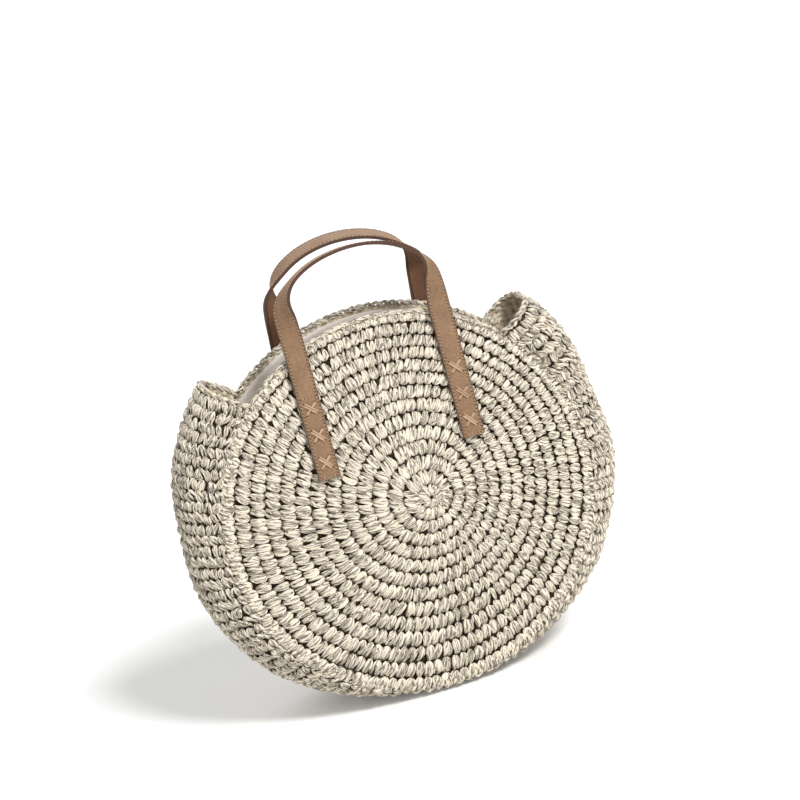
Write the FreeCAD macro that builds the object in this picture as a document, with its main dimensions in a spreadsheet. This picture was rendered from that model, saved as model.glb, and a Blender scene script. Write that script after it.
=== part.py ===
import FreeCAD, Part

import math
import os

from FreeCAD import Placement, Rotation, Vector

# Round crocheted tote, millimetres. +Z is up, the front panel faces -Y, and the origin is the
# middle of the flat sole. Two domed crochet panels lean together over a crochet gusset that runs
# from one ear of the open mouth, under the bag, to the other ear. Two leather strap handles are
# sewn to the outside of the panels.

SIZES = {
    # Crochet body
    "panel_radius": 180.0,         # seam circle of each round panel
    "panel_dome": 14.0,            # how far a panel's middle stands out of its seam circle
    "panel_wall": 5.0,
    "gusset_wall": 5.0,
    "base_half_depth": 66.0,       # seam circle to the bag's middle plane, at the sole
    "mouth_half_depth": 22.0,      # the same at the top of the mouth
    "mouth_half_angle": 43.0,      # from the top of a panel to the corner of the mouth, degrees
    "base_bulge": 7.0,             # gusset past the seam circle, under the bag
    "side_bulge": 31.0,            # the same at mid height
    "ear_bulge": 42.0,             # the same at the ends beside the mouth
    "base_flat": 40.0,             # half width of the gusset's flat middle, under the bag
    "side_flat": 8.0,              # the same at the sides and ears
    "ear_droop": 12.0,             # how far an ear's end tips outwards, degrees
    "sole_cut": 1.2,               # depth pressed flat where the bag stands
    "cord_radius": 3.0,            # crocheted seams and mouth edgings
    # Cloth lining
    "lining_thickness": 0.8,
    "lining_setback": 4.0,         # from the seam circle to the lining's edge
    "lining_ear_setback": 36.0,    # from an ear's end to the gusset lining's, along the seam circle
    # Leather handles
    "strap_width": 21.0,
    "strap_face": 1.7,             # outer leather
    "strap_backing": 1.5,          # inner leather
    "strap_spacing": 144.0,        # between the two legs of a handle
    "tab_start": 46.0,             # lower end of a sewn tab above the panel's middle
    "tab_length": 84.0,
    "leg_length": 74.0,            # straight leg above the sewn tab
    "arch_rise": 45.0,             # rounded top above the legs
    "front_lean": -14.0,           # bend of the front handle from its tabs towards the mouth, degrees
    "back_lean": -26.0,            # the same on the back handle, whose top tips a little outwards
    # Lacing
    "stitch_pitch": 26.0,          # between the cross stitches of a tab
    "stitch_start": 16.0,          # lower end of the tab to its first cross stitch
    "stitch_span": 10.5,           # side of a cross stitch
    "thread_radius": 0.9,
    "thread_bite": 3.0,            # how deep the lacing goes into the panel
    # Clearances
    "fit_gap": 0.3,
    "glue_line": 0.05,             # between the two leathers
}

FRONT, BACK = -1, 1
LEFT, RIGHT = -1, 1
SIDE_NAMES = {FRONT: "front", BACK: "back"}
HAND_NAMES = {LEFT: "left", RIGHT: "right"}
STITCHES_PER_TAB = 3
THREAD_BEND = 1.5        # bend of the lacing, in thread radii
GUSSET_SECTIONS = 25
HANDLE_SECTIONS = 41
ACROSS = Vector(1, 0, 0)

doc = FreeCAD.newDocument("circle_bag")
sheet = doc.addObject("Spreadsheet::Sheet", "sizes")
for row, (alias, value) in enumerate(SIZES.items(), start=1):
    sheet.set(f"A{row}", alias)
    sheet.set(f"B{row}", str(value))
    sheet.setAlias(f"B{row}", alias)
doc.recompute()
size = {alias: float(sheet.get(alias)) for alias in SIZES}

# Where the panels stand
half_depth = (size["base_half_depth"] + size["mouth_half_depth"]) / 2
lean_sine = (size["base_half_depth"] - size["mouth_half_depth"]) / (2 * size["panel_radius"])
panel_lean = math.asin(lean_sine)
lean_cosine = math.cos(panel_lean)
dome_radius = (size["panel_radius"] ** 2 + size["panel_dome"] ** 2) / (2 * size["panel_dome"])
sole_drop = size["base_bulge"] + size["gusset_wall"] / 2 - size["sole_cut"]
centre_height = size["panel_radius"] * lean_cosine + sole_drop
strap_thickness = size["strap_backing"] + size["glue_line"] + size["strap_face"]

sub_parts = []


def name_sub_part(thing, label):
    thing.Label = label
    sub_parts.append(thing)


def add_shape(label, shape):
    """A sub-part whose free form is worked out from the sheet's sizes."""
    feature = doc.addObject("Part::Feature", label)
    feature.Shape = shape
    feature.Placement = Placement()
    name_sub_part(feature, label)


def panel_placement(side):
    """A seam circle's frame: local Z points out of the bag and local Y up along the panel."""
    turn = Rotation(ACROSS, 90 - math.degrees(panel_lean))
    if side == BACK:
        turn = Rotation(Vector(0, 0, 1), 180) * turn
    return Placement(Vector(0, side * half_depth, centre_height), turn)


def add_dome(label, side, outer_drop, thickness, edge_radius):
    """A dished round sheet. outer_drop is the depth of its outer face below the panel's own."""
    place = panel_placement(side)
    ball_middle = place.multVec(Vector(0, 0, size["panel_dome"] - dome_radius))
    panel_face = (
        "(sizes.panel_radius ^ 2 + sizes.panel_dome ^ 2) / (2 * sizes.panel_dome) + sizes.panel_wall / 2"
    )
    balls = []
    for name, drop in (("outside", outer_drop), ("inside", f"{outer_drop} + {thickness}")):
        ball = doc.addObject("Part::Sphere", f"{label}_{name}")
        ball.setExpression("Radius", f"{panel_face} - ({drop})")
        ball.Placement = Placement(ball_middle, place.Rotation)
        balls.append(ball)
    shell = doc.addObject("Part::Cut", f"{label}_shell")
    shell.Base, shell.Tool = balls
    margin = size["panel_wall"] + size["lining_setback"]
    disc = doc.addObject("Part::Cylinder", f"{label}_disc")
    disc.setExpression("Radius", edge_radius)
    disc.setExpression("Height", "sizes.panel_dome + 2 * (sizes.panel_wall + sizes.lining_setback)")
    disc.Placement = Placement(place.multVec(Vector(0, 0, -margin)), place.Rotation)
    dome = doc.addObject("Part::Common", label)
    dome.Base, dome.Tool = shell, disc
    name_sub_part(dome, label)


def add_ring_arc(label, side, first_angle, sweep):
    """A cord on a panel's seam circle, from first_angle, in degrees from the panel's top."""
    ring = doc.addObject("Part::Torus", label)
    ring.setExpression("Radius1", "sizes.panel_radius")
    ring.setExpression("Radius2", "sizes.cord_radius")
    ring.setExpression("Angle3", sweep)
    place = panel_placement(side)
    ring.Placement = Placement(place.Base, place.Rotation * Rotation(Vector(0, 0, 1), 90 + first_angle))
    name_sub_part(ring, label)


def edge_angle(length):
    """The angle in degrees that a length takes up along the seam circle."""
    return math.degrees(length / size["panel_radius"])


def ease(value, start, end):
    """0 before start, 1 after end, smooth between."""
    share = min(max((value - start) / (end - start), 0.0), 1.0)
    return share * share * (3 - 2 * share)


class GussetSection:
    """The gusset cut across at an angle round the bag, in degrees from the sole.

    Its middle line is an arc off the front seam, a flat, and an arc down to the back seam.
    """

    def __init__(self, angle):
        turn = math.radians(angle)
        across = size["panel_radius"] * math.sin(turn)
        up = -size["panel_radius"] * math.cos(turn)
        self.seam = Vector(across, 0, centre_height + up * lean_cosine)
        half_width = half_depth - up * lean_sine
        ear_share = ease(abs(angle), 90, 180 - size["mouth_half_angle"])
        droop = math.copysign(math.radians(size["ear_droop"]) * ear_share, angle)
        radial = math.atan2(across, -up * lean_cosine) - droop
        self.outward = Vector(math.sin(radial), 0, -math.cos(radial))
        side_share = 1 - math.cos(turn) ** 4 if abs(angle) < 90 else 1.0
        low_bulge = size["base_bulge"] + (size["side_bulge"] - size["base_bulge"]) * side_share
        self.bulge = low_bulge + (size["ear_bulge"] - size["side_bulge"]) * ear_share
        self.flat = size["base_flat"] + (size["side_flat"] - size["base_flat"]) * side_share
        reach = half_width - self.flat
        self.arc_radius = (self.bulge ** 2 + reach ** 2) / (2 * self.bulge)
        self.arc_sweep = 2 * math.atan2(self.bulge, reach)

    def arc_point(self, side, share, offset, trim):
        """share is 0 at the seam and 1 at the flat; trim is the length left free at the seam."""
        turn = (self.arc_sweep - trim / self.arc_radius) * (1 - share)
        radius = self.arc_radius + offset
        depth = self.flat + radius * math.sin(turn)
        rise = self.bulge - self.arc_radius + radius * math.cos(turn)
        return self.seam + Vector(0, side * depth, 0) + self.outward * rise

    def line_edges(self, offset, trim):
        """Front arc, flat and back arc, at an offset out of the middle line."""
        front = [self.arc_point(FRONT, share, offset, trim) for share in (0, 0.5, 1)]
        back = [self.arc_point(BACK, share, offset, trim) for share in (1, 0.5, 0)]
        return [
            Part.Arc(*front).toShape(),
            Part.LineSegment(front[-1], back[0]).toShape(),
            Part.Arc(*back).toShape(),
        ]

    def wall_wire(self, outer, inner, trim):
        """Closed outline of a wall between two offsets."""
        edges = self.line_edges(outer, trim) + self.line_edges(inner, trim)
        for side in (FRONT, BACK):
            ends = [self.arc_point(side, 0, offset, trim) for offset in (outer, inner)]
            edges.append(Part.LineSegment(*ends).toShape())
        return Part.Wire(Part.__sortEdges__(edges))


def gusset_wall(outer, inner, trim, end_setback):
    """A wall that follows the gusset from ear to ear."""
    last = 180 - size["mouth_half_angle"] - edge_angle(end_setback)
    angles = [last * (2 * step / (GUSSET_SECTIONS - 1) - 1) for step in range(GUSSET_SECTIONS)]
    wires = [GussetSection(angle).wall_wire(outer, inner, trim) for angle in angles]
    return Part.makeLoft(wires, True, False)


def make_gusset():
    half_wall = size["gusset_wall"] / 2
    trim = size["cord_radius"] + size["fit_gap"]
    edging = 2 * size["cord_radius"] + size["fit_gap"]
    wall = gusset_wall(half_wall, -half_wall, trim, edging)
    reach = size["panel_radius"] + size["ear_bulge"]
    below_sole = Part.makeBox(2 * reach, 2 * reach, reach, Vector(-reach, -reach, -reach))
    return wall.cut(below_sole)


def make_gusset_lining():
    outer = -size["gusset_wall"] / 2 - size["fit_gap"]
    inner = outer - size["lining_thickness"]
    return gusset_wall(outer, inner, size["lining_setback"], size["lining_ear_setback"])


def sweep_round(edges, radius):
    """A round cord along edges that follow on from each other."""
    first = edges[0]
    ring = Part.Circle(first.valueAt(first.FirstParameter), first.tangentAt(first.FirstParameter), radius)
    return Part.Wire(edges).makePipeShell([Part.Wire([ring.toShape()])], True, True)


def make_ear_edging(hand):
    angle = 180 - size["mouth_half_angle"] - edge_angle(size["cord_radius"])
    trim = size["cord_radius"] + size["fit_gap"]
    return sweep_round(GussetSection(hand * angle).line_edges(0, trim), size["cord_radius"])


class StrapSeat:
    """The plane on which one side's straps lie. It touches the dome under a strap's inner edge."""

    def __init__(self, side):
        self.side = side
        middle = size["tab_start"] + size["tab_length"] / 2
        inner_edge = (size["strap_spacing"] - size["strap_width"]) / 2
        panel_face = dome_radius + size["panel_wall"] / 2
        height = math.sqrt(panel_face ** 2 - inner_edge ** 2 - middle ** 2)
        tip = panel_lean + math.atan2(middle, height)
        self.up = Vector(0, -side * math.sin(tip), math.cos(tip))
        self.out = Vector(0, side * math.cos(tip), math.sin(tip))
        touch = panel_placement(side).multVec(Vector(0, middle, size["panel_dome"] - dome_radius + height))
        self.start = touch + self.out * size["fit_gap"] - self.up * (size["tab_length"] / 2)

    def point(self, across, along, out):
        """across the bag, along the strap from its lower end, and out from the strap's inner face"""
        return self.start + ACROSS * across + self.up * along + self.out * out

    def rotation(self):
        return Rotation(ACROSS, self.out * self.side, self.up, "XYZ")


def add_tab(label, seat, hand, thickness_alias, out):
    """One leather of a strap's sewn end."""
    tab = doc.addObject("Part::Box", label)
    tab.setExpression("Length", "sizes.strap_width")
    tab.setExpression("Width", f"sizes.{thickness_alias}")
    tab.setExpression("Height", "sizes.tab_length - 2 * sizes.fit_gap")
    corner_out = out if seat.side == BACK else out + size[thickness_alias]
    across = hand * size["strap_spacing"] / 2 - size["strap_width"] / 2
    tab.Placement = Placement(seat.point(across, 0, corner_out), seat.rotation())
    name_sub_part(tab, label)


def rounded_path(points, radius):
    """Straight runs between points, joined by tangent arcs."""
    edges = []
    start = points[0]
    for before, corner, after in zip(points, points[1:], points[2:]):
        back = (before - corner).normalize()
        ahead = (after - corner).normalize()
        half_turn = (math.pi - back.getAngle(ahead)) / 2
        setback = radius * math.tan(half_turn)
        bisector = (back + ahead).normalize()
        middle = corner + bisector * (radius / math.cos(half_turn) - radius)
        edges.append(Part.LineSegment(start, corner + back * setback).toShape())
        edges.append(Part.Arc(corner + back * setback, middle, corner + ahead * setback).toShape())
        start = corner + ahead * setback
    edges.append(Part.LineSegment(start, points[-1]).toShape())
    return edges


def make_cross_stitches(seat, hand):
    """Crossed lacing through a tab into the panel; the second thread lies over the first."""
    half = size["stitch_span"] / 2
    across = hand * size["strap_spacing"] / 2
    root = -size["fit_gap"] - size["thread_bite"]
    first_height = strap_thickness + size["glue_line"] + size["thread_radius"]
    second_height = first_height + size["glue_line"] + 2 * size["thread_radius"]
    threads = []
    for stitch in range(STITCHES_PER_TAB):
        along = size["stitch_start"] + stitch * size["stitch_pitch"]
        for slant, height in ((1, first_height), (-1, second_height)):
            ends = [(across - half, along - slant * half), (across + half, along + slant * half)]
            points = [
                seat.point(*ends[0], root),
                seat.point(*ends[0], height),
                seat.point(*ends[1], height),
                seat.point(*ends[1], root),
            ]
            path = rounded_path(points, THREAD_BEND * size["thread_radius"])
            threads.append(sweep_round(path, size["thread_radius"]))
    return Part.makeCompound(threads)


class HandleLine:
    """A handle's middle line on the strap's inner face, from the right leg's foot to the left's."""

    def __init__(self, seat, lean):
        self.seat = seat
        self.half_span = size["strap_spacing"] / 2
        self.quarter_arch = math.pi / 2 * math.sqrt((self.half_span ** 2 + size["arch_rise"] ** 2) / 2)
        self.half_length = size["leg_length"] + self.quarter_arch
        rim = math.sqrt(size["panel_radius"] ** 2 - self.half_span ** 2) + size["cord_radius"]
        self.rim_rise = rim - size["tab_start"] - size["tab_length"]
        self.lean = math.radians(lean)

    def point(self, share):
        run = self.half_length * (1 - abs(2 * share - 1))
        turn = max(run - size["leg_length"], 0) / self.quarter_arch * math.pi / 2
        hand = RIGHT if share < 0.5 else LEFT
        rise = min(run, size["leg_length"]) + size["arch_rise"] * math.sin(turn)
        across = hand * self.half_span * math.cos(turn)
        over_rim = max(rise - self.rim_rise, 0)
        bend_radius = (size["leg_length"] + size["arch_rise"] - self.rim_rise) / self.lean
        bend = over_rim / bend_radius
        along = size["tab_length"] + min(rise, self.rim_rise) + bend_radius * math.sin(bend)
        return self.seat.point(across, along, -bend_radius * (1 - math.cos(bend)))

    def outline(self, share, inner, outer):
        """The strap's section: flat on the panel at the legs, and turned flat side up at the top."""
        step = 0.5 / HANDLE_SECTIONS
        ahead = self.point(min(share + step, 1)) - self.point(max(share - step, 0))
        ahead.normalize()
        run = self.half_length * (1 - abs(2 * share - 1))
        twist = math.pi / 2 * ease(run, self.rim_rise, size["leg_length"] + self.quarter_arch / 2)
        hand = RIGHT if share < 0.5 else LEFT
        flat_way = ACROSS * (-self.seat.side * hand * math.cos(twist))
        width = flat_way + self.seat.out * (self.seat.side * math.sin(twist))
        width = (width - ahead * width.dot(ahead)).normalize()
        face = width.cross(ahead)
        middle = self.point(share)
        half = size["strap_width"] / 2
        corners = [(-half, inner), (half, inner), (half, outer), (-half, outer)]
        points = [middle + width * wide + face * out for wide, out in corners]
        return Part.makePolygon(points + points[:1])


def make_handle(line, inner, outer):
    """One leather of a handle, between two distances from the strap's inner face."""
    shares = [step / (HANDLE_SECTIONS - 1) for step in range(HANDLE_SECTIONS)]
    return Part.makeLoft([line.outline(share, inner, outer) for share in shares], True, True)


def add_side(side):
    """A panel with its seam, mouth edging, lining and handle."""
    name = SIDE_NAMES[side]
    add_dome(f"{name}_panel", side, "0", "sizes.panel_wall",
             "sizes.panel_radius - sizes.cord_radius - sizes.fit_gap")
    add_dome(f"{name}_lining", side, "sizes.panel_wall + sizes.fit_gap", "sizes.lining_thickness",
             "sizes.panel_radius - sizes.lining_setback")
    gap_angle = edge_angle(size["fit_gap"])
    add_ring_arc(f"{name}_seam_cord", side, size["mouth_half_angle"], "360 - 2 * sizes.mouth_half_angle")
    add_ring_arc(f"{name}_rim_edging", side, gap_angle - size["mouth_half_angle"],
                 "2 * sizes.mouth_half_angle - 2 * sizes.fit_gap / sizes.panel_radius * 180 / pi")
    seat = StrapSeat(side)
    face_out = size["strap_backing"] + size["glue_line"]
    for hand, hand_name in HAND_NAMES.items():
        add_tab(f"{name}_{hand_name}_tab", seat, hand, "strap_face", face_out)
        add_tab(f"{name}_{hand_name}_tab_backing", seat, hand, "strap_backing", 0)
        add_shape(f"{name}_{hand_name}_cross_stitches", make_cross_stitches(seat, hand))
    line = HandleLine(seat, size[f"{name}_lean"])
    add_shape(f"{name}_handle_strap", make_handle(line, face_out, strap_thickness))
    add_shape(f"{name}_handle_backing", make_handle(line, 0, size["strap_backing"]))


def check_document():
    for thing in doc.Objects:
        if "Invalid" in thing.State or "Error" in thing.State:
            raise RuntimeError(f"{thing.Label} failed: {thing.State}")
    for part in sub_parts:
        if part.Shape.isNull() or not part.Shape.isValid() or not part.Shape.Solids:
            raise RuntimeError(f"{part.Label} has no valid solid")


add_shape("gusset", make_gusset())
add_shape("gusset_lining", make_gusset_lining())
for hand, hand_name in HAND_NAMES.items():
    add_shape(f"{hand_name}_ear_edging", make_ear_edging(hand))
for side in (FRONT, BACK):
    add_side(side)
doc.recompute()
check_document()

os.makedirs("parts", exist_ok=True)
for part in sub_parts:
    part.Shape.exportStep(f"parts/{part.Label}.step")
    print(part.Label, len(part.Shape.Solids), round(part.Shape.Volume, 1))
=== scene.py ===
import math
import random

import bmesh
import bpy
from mathutils import Matrix, Vector, noise
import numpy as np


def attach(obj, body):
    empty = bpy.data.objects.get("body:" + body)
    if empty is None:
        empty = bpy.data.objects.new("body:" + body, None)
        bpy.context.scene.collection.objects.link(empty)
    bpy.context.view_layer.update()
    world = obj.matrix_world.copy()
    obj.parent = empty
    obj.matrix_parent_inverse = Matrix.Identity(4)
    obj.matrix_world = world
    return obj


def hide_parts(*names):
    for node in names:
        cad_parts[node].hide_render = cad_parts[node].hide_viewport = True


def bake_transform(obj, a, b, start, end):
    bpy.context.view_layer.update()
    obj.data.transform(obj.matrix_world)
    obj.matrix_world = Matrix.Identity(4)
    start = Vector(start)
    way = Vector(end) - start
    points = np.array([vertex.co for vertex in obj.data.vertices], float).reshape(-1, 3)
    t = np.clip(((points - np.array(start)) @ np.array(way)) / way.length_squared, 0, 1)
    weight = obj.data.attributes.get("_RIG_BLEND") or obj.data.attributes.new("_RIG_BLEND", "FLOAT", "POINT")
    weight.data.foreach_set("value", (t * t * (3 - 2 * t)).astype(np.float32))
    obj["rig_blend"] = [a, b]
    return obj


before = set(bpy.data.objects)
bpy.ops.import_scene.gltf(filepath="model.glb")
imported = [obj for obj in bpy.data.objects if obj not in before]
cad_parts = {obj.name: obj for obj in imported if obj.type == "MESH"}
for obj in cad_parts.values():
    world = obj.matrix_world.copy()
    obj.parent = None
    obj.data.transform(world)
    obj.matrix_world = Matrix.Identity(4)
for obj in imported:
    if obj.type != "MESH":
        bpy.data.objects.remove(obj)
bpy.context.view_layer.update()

# Metres, in the frame of the solids: +Z up, the front panel faces -Y, origin in the middle of the sole.
FRONT, BACK = -1, 1
LEFT, RIGHT = -1, 1
SIDES = {"front": FRONT, "back": BACK}
HANDS = {"left": LEFT, "right": RIGHT}
X = Vector((1, 0, 0))
MM = 0.001

# Crochet body
PANEL_RADIUS = 180 * MM
PANEL_DOME = 14 * MM
PANEL_WALL = 5 * MM
BASE_HALF_DEPTH = 66 * MM
MOUTH_HALF_DEPTH = 22 * MM
MOUTH_HALF_ANGLE = 43.0
BASE_BULGE, SIDE_BULGE, EAR_BULGE = 7 * MM, 31 * MM, 42 * MM
BASE_FLAT, SIDE_FLAT = 40 * MM, 8 * MM
EAR_DROOP = math.radians(12)
SOLE_CUT = 1.2 * MM
CORD_RADIUS = 3 * MM
LINING_SETBACK, LINING_EAR_SETBACK = 4 * MM, 36 * MM
LINING_LIFT = -3.2 * MM  # the lining's middle, below the wall's middle
LINING_THICKNESS = 0.8 * MM

# Leather handles
STRAP_WIDTH = 21 * MM
STRAP_THICKNESS = 3.25 * MM
STRAP_SPACING = 144 * MM
TAB_START, TAB_LENGTH = 46 * MM, 84 * MM
LEG_LENGTH, ARCH_RISE = 74 * MM, 45 * MM
LEANS = {FRONT: math.radians(-14), BACK: math.radians(-26)}
FIT_GAP = 0.3 * MM
CROSSES = 3  # laced crosses on each tab
CROSS_START, CROSS_PITCH, CROSS_SPAN = 16 * MM, 26 * MM, 10.5 * MM

HALF_DEPTH = (BASE_HALF_DEPTH + MOUTH_HALF_DEPTH) / 2
LEAN_SINE = (BASE_HALF_DEPTH - MOUTH_HALF_DEPTH) / (2 * PANEL_RADIUS)
LEAN_COSINE = math.sqrt(1 - LEAN_SINE ** 2)
DOME_RADIUS = (PANEL_RADIUS ** 2 + PANEL_DOME ** 2) / (2 * PANEL_DOME)
CENTRE_HEIGHT = PANEL_RADIUS * LEAN_COSINE + BASE_BULGE + PANEL_WALL / 2 - SOLE_CUT
EAR_ANGLE = 180 - MOUTH_HALF_ANGLE

# Soft sag of the crochet
PANEL_SAG, GUSSET_SAG = 4 * MM, 5 * MM
PANEL_SAG_EDGE = 0.4  # share of the radius over which it grows from the seam
PANEL_SAG_TOP = (-20 * MM, 35 * MM)  # heights between which it dies away below the straps
PANEL_SAG_FULLNESS = 0.4  # how far it tends outwards
PANEL_SAG_WAVES = 11  # per metre
GUSSET_SAG_START = (20, 55)  # degrees from the sole between which it grows
GUSSET_SAG_END = (EAR_ANGLE - 30, EAR_ANGLE - 10)  # and between which it dies away
GUSSET_SAG_WAVE = 26  # degrees

# Seeds, which make every run the same
PANEL_SAG_SEED, GUSSET_SAG_SEED, LINING_FOLD_SEED = 5.3, 2.4, 3.7
PANEL_SEEDS = {FRONT: 41, BACK: 57}
GUSSET_SEED, EAR_SEED, SEAM_SEED, RIM_SEED = 73, 23, 31, 37
STITCHING_SEED, LACING_SEED = 91, 17


def ease(value, start, end):
    """0 before start, 1 after end, smooth between."""
    share = min(max((value - start) / (end - start), 0.0), 1.0)
    return share * share * (3 - 2 * share)


def placed(x_axis, y_axis, z_axis, origin):
    """The matrix that takes local X, Y and Z to these axes at origin."""
    matrix = Matrix((x_axis, y_axis, z_axis)).transposed().to_4x4()
    matrix.translation = origin
    return matrix


def panel_sag(across, up, side):
    """How far a soft panel strays from its dome: nothing at its seam, nor under the straps."""
    from_seam = 1 - math.hypot(across, up) / PANEL_RADIUS
    free = ease(from_seam, 0, PANEL_SAG_EDGE) * (1 - ease(up, *PANEL_SAG_TOP))
    wave = noise.noise(Vector((across * PANEL_SAG_WAVES, up * PANEL_SAG_WAVES, side * PANEL_SAG_SEED)))
    return PANEL_SAG * free * (PANEL_SAG_FULLNESS + wave)


def gusset_sag(angle, share):
    """How far the gusset strays from its curve: nothing at its seams, its ears and its foot."""
    turn = abs(angle)
    free = (1 - share ** 2) * ease(turn, *GUSSET_SAG_START) * (1 - ease(turn, *GUSSET_SAG_END))
    return GUSSET_SAG * free * noise.noise(Vector((angle / GUSSET_SAG_WAVE, share, GUSSET_SAG_SEED)))


class Panel:
    """One domed round panel.

    A place on it is across and up from its middle, and lifted off its middle surface.
    """

    def __init__(self, side):
        self.side = side
        self.out = Vector((0, side * LEAN_COSINE, LEAN_SINE))
        self.up = Vector((0, -side * LEAN_SINE, LEAN_COSINE))
        self.middle = Vector((0, side * HALF_DEPTH, CENTRE_HEIGHT))
        self.ball = self.middle + self.out * (PANEL_DOME - DOME_RADIUS)

    def normal(self, across, up):
        height = math.sqrt(DOME_RADIUS ** 2 - across ** 2 - up ** 2)
        return (X * across + self.up * up + self.out * height) / DOME_RADIUS

    def point(self, across, up, lift):
        return self.ball + self.normal(across, up) * (DOME_RADIUS + panel_sag(across, up, self.side) + lift)

    def frame(self, across, up, heading, lift):
        """Local Y runs along the surface in the heading, an angle from the panel's top towards +X."""
        normal = self.normal(across, up)
        along = X * math.sin(heading) + self.up * math.cos(heading)
        along = (along - normal * along.dot(normal)).normalized()
        return placed(along.cross(normal), along, normal, self.point(across, up, lift))

    def spot(self, point):
        """How far a point is across and up from the panel's middle."""
        return point.x, (point - self.middle).dot(self.up)

    def edge_point(self, angle):
        """A point of the seam circle, at an angle from the panel's top towards +X."""
        return self.middle + (X * math.sin(angle) + self.up * math.cos(angle)) * PANEL_RADIUS


class GussetCut:
    """The gusset cut across at an angle in degrees round the bag from the sole."""

    def __init__(self, angle):
        turn = math.radians(angle)
        across, up = PANEL_RADIUS * math.sin(turn), -PANEL_RADIUS * math.cos(turn)
        self.seam = Vector((across, 0, CENTRE_HEIGHT + up * LEAN_COSINE))
        ear_share = ease(abs(angle), 90, EAR_ANGLE)
        radial = math.atan2(across, -up * LEAN_COSINE) - math.copysign(EAR_DROOP * ear_share, angle)
        self.outward = Vector((math.sin(radial), 0, -math.cos(radial)))
        side_share = 1 - math.cos(turn) ** 4 if abs(angle) < 90 else 1.0
        self.bulge = BASE_BULGE + (SIDE_BULGE - BASE_BULGE) * side_share
        self.bulge += (EAR_BULGE - SIDE_BULGE) * ear_share
        self.flat = BASE_FLAT + (SIDE_FLAT - BASE_FLAT) * side_share
        reach = HALF_DEPTH - up * LEAN_SINE - self.flat
        self.arc_radius = (self.bulge ** 2 + reach ** 2) / (2 * self.bulge)
        self.half_length = self.flat + self.arc_radius * 2 * math.atan2(self.bulge, reach)

    def point(self, run, lift):
        """run is the way along the cut from its middle, towards the back; lift is off the middle surface."""
        turn = max(abs(run) - self.flat, 0) / self.arc_radius
        radius = self.arc_radius + lift
        depth = min(abs(run), self.flat) + radius * math.sin(turn)
        rise = self.bulge - self.arc_radius + radius * math.cos(turn)
        return self.seam + Vector((0, math.copysign(depth, run), 0)) + self.outward * rise


def gusset_point(angle, share, lift, trim=0.0):
    """share is -1 at the front seam and 1 at the back; trim is the width left free at each seam."""
    cut = GussetCut(angle)
    return cut.point(share * (cut.half_length - trim), lift + gusset_sag(angle, share))


def gusset_frame(angle, share, lift):
    """Local X runs to the back, Y round the bag and Z out of it."""
    nudge = 0.01
    across = gusset_point(angle, share + nudge, lift) - gusset_point(angle, share - nudge, lift)
    along = gusset_point(angle + nudge, share, lift) - gusset_point(angle - nudge, share, lift)
    out = across.cross(along).normalized()
    along = (along - out * along.dot(out)).normalized()
    return placed(along.cross(out), along, out, gusset_point(angle, share, lift))


class Strap:
    """One side's strap: up a tab on the right, over the handle's arch and down the tab on the left."""

    def __init__(self, side):
        self.side = side
        panel = Panel(side)
        middle = TAB_START + TAB_LENGTH / 2
        inner_edge = (STRAP_SPACING - STRAP_WIDTH) / 2
        height = math.sqrt((DOME_RADIUS + PANEL_WALL / 2) ** 2 - inner_edge ** 2 - middle ** 2)
        tip = math.asin(LEAN_SINE) + math.atan2(middle, height)
        self.up = Vector((0, -side * math.sin(tip), math.cos(tip)))
        self.out = Vector((0, side * math.cos(tip), math.sin(tip)))
        self.start = panel.ball + panel.up * middle + panel.out * height
        self.start += self.out * FIT_GAP - self.up * (TAB_LENGTH / 2)
        self.half_span = STRAP_SPACING / 2
        self.quarter_arch = math.pi / 2 * math.sqrt((self.half_span ** 2 + ARCH_RISE ** 2) / 2)
        self.half_length = TAB_LENGTH + LEG_LENGTH + self.quarter_arch
        rim = math.sqrt(PANEL_RADIUS ** 2 - self.half_span ** 2) + CORD_RADIUS
        self.rim_rise = rim - TAB_START - TAB_LENGTH
        self.bend_radius = (LEG_LENGTH + ARCH_RISE - self.rim_rise) / LEANS[side]
        self.fold = self.seat_point(0, TAB_LENGTH, STRAP_THICKNESS)

    def seat_point(self, across, along, out):
        return self.start + X * across + self.up * along + self.out * out

    def stance(self, run):
        """The hand that a run is on, and how far it is past the tab's upper end."""
        hand = RIGHT if run < self.half_length else LEFT
        return hand, self.half_length - abs(run - self.half_length) - TAB_LENGTH

    def line_point(self, run):
        """The middle of the inner face, at a run from the right tab's lower end."""
        hand, over_fold = self.stance(run)
        turn = max(over_fold - LEG_LENGTH, 0) / self.quarter_arch * math.pi / 2
        rise = min(over_fold, LEG_LENGTH) + ARCH_RISE * math.sin(turn)
        bend = max(rise - self.rim_rise, 0) / self.bend_radius
        along = TAB_LENGTH + min(rise, self.rim_rise) + self.bend_radius * math.sin(bend)
        across = hand * self.half_span * math.cos(turn)
        return self.seat_point(across, along, -self.bend_radius * (1 - math.cos(bend)))

    def frame(self, run):
        """Local X across the strap, Y along it and Z out of its face."""
        nudge = 2 * MM
        low, high = max(run - nudge, 0), min(run + nudge, 2 * self.half_length)
        ahead = (self.line_point(high) - self.line_point(low)).normalized()
        hand, over_fold = self.stance(run)
        twist = math.pi / 2 * ease(over_fold, self.rim_rise, LEG_LENGTH + self.quarter_arch / 2)
        width = X * (-self.side * hand * math.cos(twist)) + self.out * (self.side * math.sin(twist))
        width = (width - ahead * width.dot(ahead)).normalized()
        return placed(width, ahead, width.cross(ahead), self.line_point(run))

    def cross_frames(self, hand):
        """The frame in the middle of each cross on one hand's tab."""
        for cross in range(CROSSES):
            along = CROSS_START + cross * CROSS_PITCH
            yield self.frame(along if hand == RIGHT else 2 * self.half_length - along)


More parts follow.
